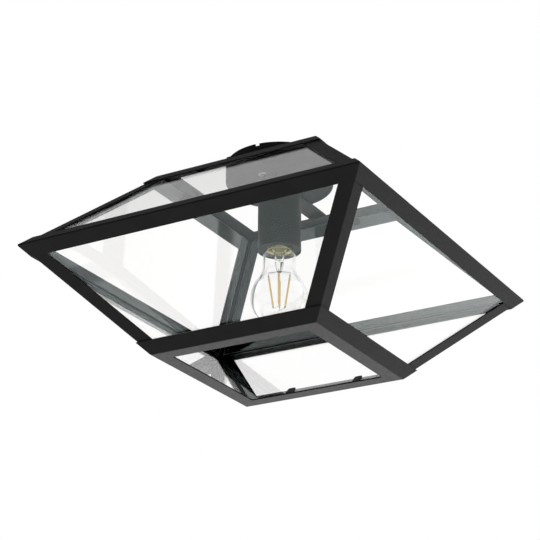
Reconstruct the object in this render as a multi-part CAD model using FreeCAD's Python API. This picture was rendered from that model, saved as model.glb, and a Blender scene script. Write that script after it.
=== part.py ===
import FreeCAD, Part
import math
import os

# A porch ceiling lantern: an open cage of folded steel, shaped as two cut pyramids set base to
# base, glazed on its eight faces, and hung on a crossbar under a round ceiling canopy. A sleeve
# holds the lampholder and its bulb on the axis. Sizes are in millimetres. The origin is the
# centre of the ceiling face, +Z is up, and the front side faces -Y.

# Cage, over its outer faces; the bottom ring and the top ring are the same square
waist_width = 390.0
ring_width = 190.0
lower_height = 104.0
upper_height = 96.0

# Folded steel sheet of the cage
sheet = 1.5
fold_radius = 0.3
bottom_flat_flange = 16.5
bottom_side_flange = 16.0
waist_lower_flange = 16.0
waist_upper_flange = 15.5
top_side_flange = 14.5
top_flat_flange = 17.5
rib_flange = 15.0
rib_end_gap = 0.5

# Glass and its clips
glass = 3.0
pane_end_gap = 0.5
pane_corner_gap = 0.5
clip_sheet = 0.8
clip_width = 9.0
clip_foot = 6.0
bottom_clip_leaf = 20.0
top_clip_leaf = 12.0
clip_tip_radius = 2.0
clip_spacing = 81.0
left_clip_shift = 11.0

# Canopy
canopy_diameter = 115.0
canopy_depth = 25.0
canopy_sheet = 1.0
canopy_edge_radius = 3.0
notch_width = 4.6
notch_depth = 2.5
notch_offset = 5.0

# Crossbar over the top opening
crossbar_width = 20.0
crossbar_sheet = 2.0
crossbar_set = 3.0
crossbar_step_run = 3.0
crossbar_step_inset = 6.5
crossbar_end_inset = 1.5

# Ceiling bracket and the screws that carry the lantern
bracket_length = 100.0
bracket_width = 20.0
bracket_sheet = 2.0
cable_hole_diameter = 12.0
slot_spacing = 50.0
slot_length = 13.0
slot_width = 4.5
carrier_spacing = 74.0
screw_diameter = 4.0
screw_length = 25.0
screw_clearance = 0.25
thread_clearance = 0.05
collar_diameter = 7.0
collar_height = 3.0
pan_head_diameter = 7.8
pan_head_height = 2.4
recess_width = 0.9
recess_length = 4.2
recess_depth = 1.3
earth_screw_place = 11.7
earth_head_height = 1.6
ring_terminal_sheet = 0.8
ring_terminal_radius = 3.6

# Hollow threaded nipple through crossbar, canopy and sleeve
nipple_diameter = 10.0
nipple_bore = 7.6
nipple_above_floor = 10.0
nipple_clearance = 0.2
nut_across_flats = 14.0
nut_height = 3.0

# Sleeve and lampholder
sleeve_diameter = 46.0
sleeve_length = 72.5
sleeve_sheet = 1.2
sleeve_edge_radius = 1.6
holder_recess = 1.0
holder_collar_diameter = 43.0
holder_collar_height = 4.0
holder_diameter = 39.0
holder_wall = 3.0
holder_floor = 4.0
holder_socket_depth = 28.5
holder_mouth_chamfer = 1.2
chamber_height = 14.0
dome_height = 9.0
dome_rim_height = 2.5
dome_wall = 1.6
dome_neck_diameter = 15.0
dome_neck_height = 6.0
shell_sheet = 0.4
shell_recess = 1.5
shell_clearance = 0.05
terminal_width = 6.0
terminal_depth = 8.0
terminal_height = 7.0
terminal_place = 8.5
terminal_screw_diameter = 3.0
terminal_screw_head = 1.4

# Leads
lead_diameter = 2.2
lead_spacing = 2.8
lead_entry = 3.0
lead_bend_share = 0.45
lead_rise = 6.0
lead_spread = 8.0
lead_over_nipple = 5.5
lead_drop_gap = 7.5
lead_drop_lean = 4.0
earth_drop = 6.0
earth_reach = 6.0
earth_swing = 3.0

# Terminal block on the canopy's floor
block_length = 28.0
block_width = 16.0
block_height = 13.0
block_place = 24.0
block_pitch = 8.0
block_tower_diameter = 6.6
block_tower_height = 4.0
block_screw_diameter = 3.4
block_screw_set = 1.0
block_entry_height = 7.0

# Screw-base bulb
bulb_diameter = 60.0
bulb_length = 110.0
bulb_wall = 0.6
neck_diameter = 34.4
neck_flare_radius = 25.0
shoulder_drop = 6.0
shoulder_diameter = 27.0
seal_diameter = 24.6
seal_length = 8.0
cap_diameter = 26.2
cap_length = 26.5
cap_sheet = 0.4
cap_thread_length = 20.0
cap_thread_clearance = 0.3
insulator_diameter = 18.0
insulator_height = 2.6
button_diameter = 9.6
button_height = 1.0
button_gap = 0.1
insulator_rim = 0.4
contact_gap = 0.3
contact_drop = 2.2
contact_sheet = 0.6
contact_width = 6.0
contact_foot_length = 4.8
stem_diameter = 9.0
stem_foot_diameter = 12.0
stem_length = 24.5
stem_wall = 1.2
stem_pinch_run = 2.0
stem_pinch_share = 0.6
filament_count = 4
filament_diameter = 2.0
filament_length = 38.0
filament_top_radius = 11.5
filament_bottom_radius = 6.0
filament_turn = 26.0
filament_drop = 27.5
wire_diameter = 0.4
wire_root_radius = 1.4
wire_drop = 1.8

# Heights that follow from the stack: canopy, crossbar and its set, then the cage.
crossbar_top = -canopy_depth
crossbar_underside = crossbar_top - crossbar_sheet
top_z = crossbar_underside - crossbar_set
waist_z = top_z - upper_height
bottom_z = waist_z - lower_height
canopy_floor = crossbar_top + canopy_sheet
sleeve_rim = crossbar_underside - sleeve_length
holder_mouth = sleeve_rim + holder_recess
holder_floor_under = holder_mouth + holder_socket_depth
holder_floor_top = holder_floor_under + holder_floor
chamber_top = holder_floor_top + chamber_height
dome_top = chamber_top + dome_height
neck_top = dome_top + dome_neck_height

# The bulb's tip is one contact gap below the lampholder's centre contact.
bulb_tip = holder_floor_under - contact_drop - contact_gap
cap_rim = bulb_tip - cap_length
globe_centre = bulb_tip - bulb_length + bulb_diameter / 2.0
shell_inner_radius = cap_diameter / 2.0 + cap_thread_clearance
shell_outer_radius = shell_inner_radius + shell_sheet
holder_bore_radius = shell_outer_radius + shell_clearance

Z_AXIS = FreeCAD.Vector(0, 0, 1)
ORIGIN = FreeCAD.Vector(0, 0, 0)
SIDES = ("right", "rear", "left", "front")
CORNERS = ("rear_right", "rear_left", "front_left", "front_right")


def vector(x, y, z):
    return FreeCAD.Vector(x, y, z)


def unit(v):
    return FreeCAD.Vector(v).normalize()


def line(start, end):
    return Part.LineSegment(start, end).toShape()


def arc(start, middle, end):
    return Part.Arc(start, middle, end).toShape()


def turned(shape, degrees):
    copy = shape.copy()
    copy.rotate(ORIGIN, Z_AXIS, degrees)
    return copy


def cylinder(radius, low, high, x=0.0, y=0.0):
    return Part.makeCylinder(radius, high - low, vector(x, y, low))


def block(x0, y0, z0, x1, y1, z1):
    return Part.makeBox(x1 - x0, y1 - y0, z1 - z0, vector(x0, y0, z0))


def polygon_face(points):
    return Part.Face(Part.makePolygon(points + [points[0]]))


def revolved(points):
    """A solid turned about the axis from straight (radius, height) points."""
    outline = polygon_face([vector(r, 0, z) for r, z in points])
    return outline.revolve(ORIGIN, Z_AXIS, 360)


def revolved_wire(edges):
    return Part.Face(Part.Wire(edges)).revolve(ORIGIN, Z_AXIS, 360)


def hexagon(across_flats, low, high):
    radius = across_flats / math.sqrt(3.0)
    points = []
    for index in range(6):
        angle = math.radians(60 * index)
        points.append(vector(radius * math.cos(angle), radius * math.sin(angle), low))
    return polygon_face(points).extrude(vector(0, 0, high - low))


def save(name, shape):
    shape.exportStep("parts/" + name + ".step")


# ---- Cage geometry, drawn on the right side, whose outward direction is +X ----

lower_slope = unit(vector((waist_width - ring_width) / 2.0, 0, lower_height))
upper_slope = unit(vector((ring_width - waist_width) / 2.0, 0, upper_height))
lower_inward = vector(-lower_slope.z, 0, lower_slope.x)
upper_inward = vector(-upper_slope.z, 0, upper_slope.x)
bottom_corner = vector(ring_width / 2.0, 0, bottom_z)
waist_corner = vector(waist_width / 2.0, 0, waist_z)
top_corner = vector(ring_width / 2.0, 0, top_z)
pane_depth = 2 * sheet
pane_back = pane_depth + glass


def folded_strip(corner, first, second, first_width, second_width, thickness, run):
    """Sheet folded once along a corner line: the outer faces of both flanges meet on it."""
    half_angle = first.getAngle(second) / 2.0
    along = first.dot(second)
    first_inward = unit(second - first * along)
    second_inward = unit(first - second * along)
    bisector = unit(first + second)
    outer_radius = fold_radius + thickness
    centre = corner + bisector * (outer_radius / math.sin(half_angle))
    first_tip = corner + first * first_width
    second_tip = corner + second * second_width
    first_bend = centre - first_inward * outer_radius
    second_bend = centre - second_inward * outer_radius
    first_inner = centre - first_inward * fold_radius
    second_inner = centre - second_inward * fold_radius
    first_back = first_tip + first_inward * thickness
    second_back = second_tip + second_inward * thickness
    edges = [
        line(first_tip, first_bend),
        arc(first_bend, centre - bisector * outer_radius, second_bend),
        line(second_bend, second_tip),
        line(second_tip, second_back),
        line(second_back, second_inner),
        arc(second_inner, centre - bisector * fold_radius, first_inner),
        line(first_inner, first_back),
        line(first_back, first_tip),
    ]
    return Part.Face(Part.Wire(edges)).extrude(run)


def side_wedge():
    """The space of the right side, between the two upright diagonal planes."""
    reach = waist_width
    low = bottom_z - reach
    outline = [vector(0, 0, low), vector(reach, -reach, low), vector(reach, reach, low)]
    return polygon_face(outline).extrude(vector(0, 0, 3 * reach))


def rail(corner, first, second, first_width, second_width):
    """One rail of a ring, mitred at both ends on the diagonal planes."""
    start = corner - vector(0, waist_width, 0)
    run = vector(0, 2 * waist_width, 0)
    strip = folded_strip(start, first, second, first_width, second_width, sheet, run)
    return strip.common(side_wedge())


def bottom_rail():
    return rail(bottom_corner, vector(-1, 0, 0), lower_slope, bottom_flat_flange, bottom_side_flange)


def waist_rail():
    return rail(waist_corner, -lower_slope, upper_slope, waist_lower_flange, waist_upper_flange)


def top_rail():
    return rail(top_corner, vector(-1, 0, 0), -upper_slope, top_flat_flange, top_side_flange)


def corner_rib(low_corner, high_corner, inward, low, high):
    """A folded rib under the corner of two faces, one sheet inside the rings that it joins."""
    foot = vector(low_corner.x, low_corner.x, low_corner.z)
    head = vector(high_corner.x, high_corner.x, high_corner.z)
    along = unit(head - foot)
    x_inward = inward
    y_inward = vector(0, inward.x, inward.z)
    shift = (x_inward + y_inward) * (sheet / (1 + x_inward.dot(y_inward)))
    x_flange = unit(along.cross(x_inward))
    if x_flange.y > 0:
        x_flange = -x_flange
    y_flange = unit(along.cross(y_inward))
    if y_flange.x > 0:
        y_flange = -y_flange
    half_angle = x_flange.getAngle(y_flange) / 2.0
    width = rib_flange - sheet / math.tan(half_angle)
    extra = along * (3 * rib_flange)
    start = foot + shift - extra
    run = head - foot + extra * 2
    strip = folded_strip(start, x_flange, y_flange, width, width, sheet, run)
    return strip.common(block(0, 0, low, waist_width, waist_width, high))


def lower_rib():
    low = bottom_z + sheet + rib_end_gap
    return corner_rib(bottom_corner, waist_corner, lower_inward, low, waist_z - rib_end_gap)


def upper_rib():
    high = top_z - sheet - rib_end_gap
    return corner_rib(waist_corner, top_corner, upper_inward, waist_z + rib_end_gap, high)


def pane(corner, slope, inward, low, high):
    """A flat trapezoid of glass whose outer face lies on the ribs, between two heights."""
    front = []
    corner_clear = (pane_back + pane_corner_gap) / slope.z
    for height, signs in ((low, (-1, 1)), (high, (1, -1))):
        climb = (height - corner.z - pane_depth * inward.z) / slope.z
        middle = corner + slope * climb + inward * pane_depth
        face_half_width = corner.x + slope.x * (height - corner.z) / slope.z
        for sign in signs:
            front.append(middle + vector(0, sign * (face_half_width - corner_clear), 0))
    return polygon_face(front).extrude(inward * glass)


def lower_pane():
    low = bottom_z + sheet + pane_end_gap
    high = waist_z - pane_end_gap - glass * lower_inward.z
    return pane(bottom_corner, lower_slope, lower_inward, low, high)


def upper_pane():
    low = waist_z + pane_end_gap - glass * upper_inward.z
    high = top_z - sheet - pane_end_gap
    return pane(waist_corner, upper_slope, upper_inward, low, high)


def clip(start, leaf, leaf_length):
    """One spring clip, folded to a foot and a leaf whose two end corners are rounded."""
    foot = vector(-1, 0, 0)
    run = vector(0, clip_width, 0)
    strip = folded_strip(start, foot, leaf, clip_foot, leaf_length, clip_sheet, run)
    corners = []
    for edge in strip.Edges:
        reach = (edge.CenterOfMass - start).dot(leaf)
        at_tip = abs(reach - leaf_length) < clip_sheet / 10.0
        if at_tip and edge.Length < clip_width / 2.0:
            corners.append(edge)
    return strip.makeFillet(clip_tip_radius, corners)


def clip_pair(ring_corner, slope, flange_face, leaf_length, shift):
    """Two spring clips: each foot lies on the flat flange, each leaf lies along the glass."""
    reach = ring_corner.x + slope.x * (flange_face - ring_corner.z) / slope.z
    start_x = reach - pane_back / abs(slope.z)
    leaf = slope if slope.x > 0 else -slope
    clips = []
    for sign in (-1, 1):
        start_y = shift + sign * clip_spacing / 2.0 - clip_width / 2.0
        clips.append(clip(vector(start_x, start_y, flange_face), leaf, leaf_length))
    return clips


def clip_group(ring_corner, slope, flange_face, leaf_length, left_shift=0.0):
    clips = []
    for index, side in enumerate(SIDES):
        shift = left_shift if side == "left" else 0.0
        for one in clip_pair(ring_corner, slope, flange_face, leaf_length, shift):
            clips.append(turned(one, 90 * index))
    return Part.makeCompound(clips)


def save_cage():
    for index, side in enumerate(SIDES):
        save("bottom_rail_" + side, turned(bottom_rail(), 90 * index))
        save("waist_rail_" + side, turned(waist_rail(), 90 * index))
        save("top_rail_" + side, turned(top_rail(), 90 * index))
        save("lower_pane_" + side, turned(lower_pane(), 90 * index))
        save("upper_pane_" + side, turned(upper_pane(), 90 * index))
    for index, corner in enumerate(CORNERS):
        save("lower_rib_" + corner, turned(lower_rib(), 90 * index))
        save("upper_rib_" + corner, turned(upper_rib(), 90 * index))
    bottom = clip_group(bottom_corner, lower_slope, bottom_z + sheet, bottom_clip_leaf, -left_clip_shift)
    top = clip_group(top_corner, upper_slope, top_z - sheet, top_clip_leaf)
    save("bottom_glass_clips", bottom)
    save("top_glass_clips", top)


# ---- Crossbar, canopy and ceiling bracket ----


def bent_bar(path, thickness, run):
    """A flat bar bent along a path of points; the path is its underside, seen along run."""
    across = unit(run)
    upper = []
    for index, point in enumerate(path):
        before = unit(path[max(index, 1)] - path[max(index, 1) - 1])
        last = len(path) - 2
        after = unit(path[min(index, last) + 1] - path[min(index, last)])
        up_before = before.cross(across)
        up_after = after.cross(across)
        mitre = (up_before + up_after) * (thickness / (1 + up_before.dot(up_after)))
        upper.append(point + mitre)
    return polygon_face(path + upper[::-1]).extrude(run)


def crossbar():
    end = ring_width / 2.0 - crossbar_end_inset
    step_in = ring_width / 2.0 - top_flat_flange + crossbar_step_inset
    step_out = step_in + crossbar_step_run
    half = [(step_in, crossbar_underside), (step_out, top_z), (end, top_z)]
    heights = [(-y, z) for y, z in half[::-1]] + half
    side = crossbar_width / 2.0
    path = [vector(side, y, z) for y, z in heights]
    bar = bent_bar(path, crossbar_sheet, vector(-crossbar_width, 0, 0))
    low = crossbar_underside - crossbar_set
    bar = bar.cut(cylinder(nipple_diameter / 2.0 + nipple_clearance, low, crossbar_top + 1))
    return bar.cut(carrier_holes(low, crossbar_top + 1))


def carrier_holes(low, high):
    radius = screw_diameter / 2.0 + screw_clearance
    place = carrier_spacing / 2.0
    return cylinder(radius, low, high, 0, place).fuse(cylinder(radius, low, high, 0, -place))


def canopy():
    radius = canopy_diameter / 2.0
    inner = radius - canopy_sheet
    edge = radius - canopy_edge_radius
    centre_z = crossbar_top + canopy_edge_radius
    inner_edge = canopy_edge_radius - canopy_sheet
    diagonal = math.sqrt(0.5)
    edges = [
        line(vector(0, 0, crossbar_top), vector(edge, 0, crossbar_top)),
        arc(
            vector(edge, 0, crossbar_top),
            vector(edge + canopy_edge_radius * diagonal, 0, centre_z - canopy_edge_radius * diagonal),
            vector(radius, 0, centre_z),
        ),
        line(vector(radius, 0, centre_z), vector(radius, 0, 0)),
        line(vector(radius, 0, 0), vector(inner, 0, 0)),
        line(vector(inner, 0, 0), vector(inner, 0, centre_z)),
        arc(
            vector(inner, 0, centre_z),
            vector(edge + inner_edge * diagonal, 0, centre_z - inner_edge * diagonal),
            vector(edge, 0, canopy_floor),
        ),
        line(vector(edge, 0, canopy_floor), vector(0, 0, canopy_floor)),
        line(vector(0, 0, canopy_floor), vector(0, 0, crossbar_top)),
    ]
    cup = revolved_wire(edges)
    low = crossbar_top - 1
    high = canopy_floor + 1
    cup = cup.cut(cylinder(nipple_diameter / 2.0 + nipple_clearance, low, high))
    cup = cup.cut(carrier_holes(low, high))
    notch_left = notch_offset - notch_width / 2.0
    notch = block(notch_left, -radius - 1, -notch_depth, notch_left + notch_width, -inner + 2, 1)
    return cup.cut(notch)


def slot(centre_y, low, high):
    reach = (slot_length - slot_width) / 2.0
    radius = slot_width / 2.0
    middle = block(-radius, centre_y - reach, low, radius, centre_y + reach, high)
    for end in (-reach, reach):
        middle = middle.fuse(cylinder(radius, low, high, 0, centre_y + end))
    return middle


def ceiling_bracket():
    half_length = bracket_length / 2.0
    half_width = bracket_width / 2.0
    low = -bracket_sheet
    bar = block(-half_width, -half_length, low, half_width, half_length, 0)
    upright = [edge for edge in bar.Edges if abs(edge.tangentAt(edge.FirstParameter).z) > 0.9]
    bar = bar.makeFillet(half_width / 2.0, upright)
    drill_low = low - collar_height - 1
    for sign in (-1, 1):
        place = sign * carrier_spacing / 2.0
        bar = bar.fuse(cylinder(collar_diameter / 2.0, low - collar_height, 0, 0, place))
        bar = bar.cut(cylinder(screw_diameter / 2.0 + thread_clearance, drill_low, 1, 0, place))
        bar = bar.cut(slot(sign * slot_spacing / 2.0, low - 1, 1))
    bar = bar.cut(cylinder(cable_hole_diameter / 2.0, low - 1, 1))
    earth_hole = cylinder(screw_diameter / 2.0 + thread_clearance, low - 1, 1, 0, earth_screw_place)
    return bar.cut(earth_hole).removeSplitter()


def cross_recess(x, y, low, high):
    half = recess_length / 2.0
    thin = recess_width / 2.0
    return block(x - half, y - thin, low, x + half, y + thin, high).fuse(
        block(x - thin, y - half, low, x + thin, y + half, high)
    )


def pan_screw(y, seat, shank_length, head_height):
    """A pan-head machine screw that stands up from its seat, with a crossed recess below."""
    head_low = seat - head_height
    head = pan_head_diameter / 2.0
    shank = screw_diameter / 2.0
    bevel = head_height / 2.0
    outline = [
        (0, head_low),
        (head - bevel, head_low),
        (head, head_low + bevel),
        (head, seat),
        (shank, seat),
        (shank, seat + shank_length),
        (0, seat + shank_length),
    ]
    screw = revolved(outline)
    screw.translate(vector(0, y, 0))
    depth = min(recess_depth, head_height / 1.5)
    return screw.cut(cross_recess(0, y, head_low - 1, head_low + depth))


def carrier_screws():
    screws = []
    for sign in (-1, 1):
        place = sign * carrier_spacing / 2.0
        screws.append(pan_screw(place, crossbar_underside, screw_length, pan_head_height))
    return Part.makeCompound(screws)


def earth_screw():
    seat = -bracket_sheet - ring_terminal_sheet
    return pan_screw(earth_screw_place, seat, -seat, earth_head_height)


def earth_ring_terminal():
    high = -bracket_sheet
    low = high - ring_terminal_sheet
    ring = cylinder(ring_terminal_radius, low, high, 0, earth_screw_place)
    barrel = cylinder(lead_diameter / 2.0 + ring_terminal_sheet, low, high, *ring_barrel_place())
    neck_half = lead_diameter / 2.0
    end_x, end_y = ring_barrel_place()
    neck = block(0, end_y - neck_half, low, end_x, end_y + neck_half, high)
    ring = ring.fuse(neck).fuse(barrel)
    hole = cylinder(screw_diameter / 2.0 + thread_clearance, low - 1, high + 1, 0, earth_screw_place)
    return ring.cut(hole).removeSplitter()


def ring_barrel_place():
    return ring_terminal_radius + lead_diameter, earth_screw_place


def nipple():
    low = dome_top
    high = canopy_floor + nipple_above_floor
    tube = cylinder(nipple_diameter / 2.0, low, high)
    return tube.cut(cylinder(nipple_bore / 2.0, low - 1, high + 1))


def nut(low):
    high = low + nut_height
    hole = cylinder(nipple_diameter / 2.0 + thread_clearance, low - 1, high + 1)
    return hexagon(nut_across_flats, low, high).cut(hole)


def nipple_nuts():
    sleeve_plate_under = crossbar_underside - sleeve_sheet
    return Part.makeCompound([nut(canopy_floor), nut(sleeve_plate_under - nut_height)])


def save_hanging_set():
    save("crossbar", crossbar())
    save("canopy", canopy())
    save("ceiling_bracket", ceiling_bracket())
    save("carrier_screws", carrier_screws())
    save("earth_screw", earth_screw())
    save("earth_ring_terminal", earth_ring_terminal())
    save("threaded_nipple", nipple())
    save("nipple_nuts", nipple_nuts())


# ---- Sleeve and lampholder ----


def sleeve():
    radius = sleeve_diameter / 2.0
    inner = radius - sleeve_sheet
    top = crossbar_underside
    plate = top - sleeve_sheet
    edge = radius - sleeve_edge_radius
    inner_edge = sleeve_edge_radius - sleeve_sheet
    centre_z = top - sleeve_edge_radius
    diagonal = math.sqrt(0.5)
    edges = [
        line(vector(0, 0, plate), vector(edge, 0, plate)),
        arc(
            vector(edge, 0, plate),
            vector(edge + inner_edge * diagonal, 0, centre_z + inner_edge * diagonal),
            vector(inner, 0, centre_z),
        ),
        line(vector(inner, 0, centre_z), vector(inner, 0, sleeve_rim)),
        line(vector(inner, 0, sleeve_rim), vector(radius, 0, sleeve_rim)),
        line(vector(radius, 0, sleeve_rim), vector(radius, 0, centre_z)),
        arc(
            vector(radius, 0, centre_z),
            vector(edge + sleeve_edge_radius * diagonal, 0, centre_z + sleeve_edge_radius * diagonal),
            vector(edge, 0, top),
        ),
        line(vector(edge, 0, top), vector(0, 0, top)),
        line(vector(0, 0, top), vector(0, 0, plate)),
    ]
    hole = cylinder(nipple_diameter / 2.0 + nipple_clearance, plate - 1, top + 1)
    return revolved_wire(edges).cut(hole)


def lampholder_body():
    collar = holder_collar_diameter / 2.0
    radius = holder_diameter / 2.0
    chamber = radius - holder_wall
    collar_top = holder_mouth + holder_collar_height
    outline = [
        (holder_bore_radius + holder_mouth_chamfer, holder_mouth),
        (collar, holder_mouth),
        (collar, collar_top),
        (radius, collar_top),
        (radius, chamber_top),
        (chamber, chamber_top),
        (chamber, holder_floor_top),
        (0, holder_floor_top),
        (0, holder_floor_under),
        (holder_bore_radius, holder_floor_under),
        (holder_bore_radius, holder_mouth + holder_mouth_chamfer),
    ]
    return revolved(outline)


def lampholder_dome():
    """The upper moulding: a stepped cone with a rim, and a neck that is tapped for the nipple."""
    radius = holder_diameter / 2.0
    neck = dome_neck_diameter / 2.0
    bore = nipple_diameter / 2.0 + thread_clearance
    passage = nipple_bore / 2.0
    rim_top = chamber_top + dome_rim_height
    outline = [
        (radius, chamber_top),
        (radius, rim_top),
        (neck + dome_wall, dome_top),
        (neck, dome_top + dome_wall),
        (neck, neck_top),
        (bore, neck_top),
        (bore, dome_top),
        (passage, dome_top),
        (passage, dome_top - dome_wall),
        (neck, dome_top - dome_wall),
        (radius - dome_wall, rim_top - dome_wall / 2.0),
        (radius - dome_wall, chamber_top),
    ]
    return revolved(outline)


def screw_shell():
    low = holder_mouth + shell_recess
    tube = cylinder(shell_outer_radius, low, holder_floor_under)
    return tube.cut(cylinder(shell_inner_radius, low - 1, holder_floor_under + 1))


def centre_contact():
    """A sprung brass leaf: its foot lies on the socket's floor, its tongue meets the bulb's tip."""
    tongue_under = holder_floor_under - contact_drop
    foot_under = holder_floor_under - contact_sheet
    foot_start = -contact_width
    foot_end = foot_start - contact_foot_length
    tongue_start = -contact_width / 2.0
    tongue_end = contact_width / 2.0
    side = contact_width / 2.0
    heights = [
        (foot_end, foot_under),
        (foot_start, foot_under),
        (tongue_start, tongue_under),
        (tongue_end, tongue_under),
    ]
    path = [vector(x, -side, z) for x, z in heights]
    return bent_bar(path, contact_sheet, vector(0, contact_width, 0))


def terminal(sign):
    half = terminal_width / 2.0
    centre = sign * terminal_place
    low = holder_floor_top
    high = low + terminal_height
    inner = centre - terminal_depth / 2.0
    body = block(-half, inner, low, half, inner + terminal_depth, high)
    bore_radius = lead_diameter / 2.0 + thread_clearance
    return body.cut(cylinder(bore_radius, high - lead_entry, high + 1, 0, centre))


def terminals():
    return Part.makeCompound([terminal(-1), terminal(1)])


def terminal_screws():
    """One cheese-head screw in the flank of each brass terminal, square to the lead."""
    screws = []
    middle_z = holder_floor_top + terminal_height / 2.0
    face = terminal_width / 2.0
    radius = terminal_screw_diameter / 2.0
    for sign in (-1, 1):
        place = vector(face, sign * terminal_place, middle_z)
        screws.append(Part.makeCylinder(radius, terminal_screw_head, place, vector(1, 0, 0)))
    return Part.makeCompound(screws)


def save_lampholder():
    save("lampholder_sleeve", sleeve())
    save("lampholder_body", lampholder_body())
    save("lampholder_dome", lampholder_dome())
    save("screw_shell", screw_shell())
    save("centre_contact", centre_contact())
    save("lampholder_terminals", terminals())
    save("lampholder_terminal_screws", terminal_screws())


# ---- Terminal block and leads ----


def pole_places():
    return (-block_pitch, 0.0, block_pitch)


def terminal_block():
    low = canopy_floor
    high = low + block_height
    far = block_place + block_width
    half = block_length / 2.0
    body_top = high - block_tower_height
    middle_x = block_place + block_width / 2.0
    body = block(block_place, -half, low, far, half, body_top)
    entry_z = low + block_entry_height
    well_low = entry_z + lead_diameter / 2.0
    bore_radius = lead_diameter / 2.0 + thread_clearance
    well_radius = block_screw_diameter / 2.0 + thread_clearance
    for y in pole_places():
        body = body.fuse(cylinder(block_tower_diameter / 2.0, low, high, middle_x, y))
    for y in pole_places():
        start = vector(block_place - 1, y, entry_z)
        body = body.cut(Part.makeCylinder(bore_radius, block_width + 2, start, vector(1, 0, 0)))
        body = body.cut(cylinder(well_radius, well_low, high + 1, middle_x, y))
    return body.removeSplitter()


def terminal_block_screws():
    low = canopy_floor + block_entry_height + lead_diameter / 2.0 + thread_clearance
    high = canopy_floor + block_height - block_screw_set
    groove_low = high - recess_depth
    middle_x = block_place + block_width / 2.0
    left = middle_x - block_screw_diameter
    right = middle_x + block_screw_diameter
    half = recess_width / 2.0
    screws = []
    for y in pole_places():
        screw = cylinder(block_screw_diameter / 2.0, low, high, middle_x, y)
        screws.append(screw.cut(block(left, y - half, groove_low, right, y + half, high + 1)))
    return Part.makeCompound(screws)


def lead(name, points):
    """An insulated lead: straight runs joined by arcs that are as large as the runs allow."""
    edges = []
    start = points[0]
    radii = []
    for index in range(1, len(points) - 1):
        corner = points[index]
        incoming = corner - points[index - 1]
        outgoing = points[index + 1] - corner
        trim = min(incoming.Length, outgoing.Length) * lead_bend_share
        turn = incoming.getAngle(outgoing)
        radius = trim / math.tan(turn / 2.0)
        radii.append(radius)
        entry = corner - unit(incoming) * trim
        leave = corner + unit(outgoing) * trim
        inward = unit(unit(outgoing) - unit(incoming))
        centre = corner + inward * (radius / math.cos(turn / 2.0))
        edges.append(line(start, entry))
        edges.append(arc(entry, centre - inward * radius, leave))
        start = leave
    edges.append(line(start, points[-1]))
    path = Part.Wire(edges)
    section = Part.Wire(Part.makeCircle(lead_diameter / 2.0, points[0], unit(points[1] - points[0])))
    solid = path.makePipeShell([section], True, False)
    print(name, "least bend radius", round(min(radii), 2), "length", round(path.Length, 1))
    return solid


def holder_lead(name, sign, pole_y):
    """From a lampholder terminal up through the nipple and over to its pole of the block."""
    terminal_top = holder_floor_top + terminal_height
    bend_low = terminal_top + lead_rise
    side = sign * lead_spacing / 2.0
    over = canopy_floor + nipple_above_floor + lead_over_nipple
    entry_z = canopy_floor + block_entry_height
    down_x = block_place - lead_drop_gap
    return lead(name, [
        vector(0, sign * terminal_place, terminal_top - lead_entry),
        vector(0, sign * terminal_place, bend_low),
        vector(0, side, bend_low + lead_spread),
        vector(0, side, over),
        vector(down_x - lead_drop_lean, pole_y, over),
        vector(down_x, pole_y, entry_z),
        vector(block_place + lead_entry, pole_y, entry_z),
    ])


def earth_lead():
    """From its pole of the block down and round to the ring terminal under the bracket."""
    pole_y = pole_places()[2]
    entry_z = canopy_floor + block_entry_height
    barrel_x, barrel_y = ring_barrel_place()
    ring_under = -bracket_sheet - ring_terminal_sheet
    return lead("earth_lead", [
        vector(block_place + lead_entry, pole_y, entry_z),
        vector(block_place - earth_reach, pole_y, entry_z),
        vector(barrel_x + earth_reach, barrel_y + earth_swing, ring_under - earth_drop - earth_swing),
        vector(barrel_x, barrel_y, ring_under - earth_drop),
        vector(barrel_x, barrel_y, ring_under),
    ])


def save_wiring():
    poles = pole_places()
    save("terminal_block", terminal_block())
    save("terminal_block_screws", terminal_block_screws())
    save("live_lead", holder_lead("live_lead", -1, poles[0]))
    save("neutral_lead", holder_lead("neutral_lead", 1, poles[1]))
    save("earth_lead", earth_lead())


# ---- Bulb ----


def around(centre, radius, angle):
    """The point of an upright circle at an angle above the horizontal."""
    return centre + vector(radius * math.cos(angle), 0, radius * math.sin(angle))


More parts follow.
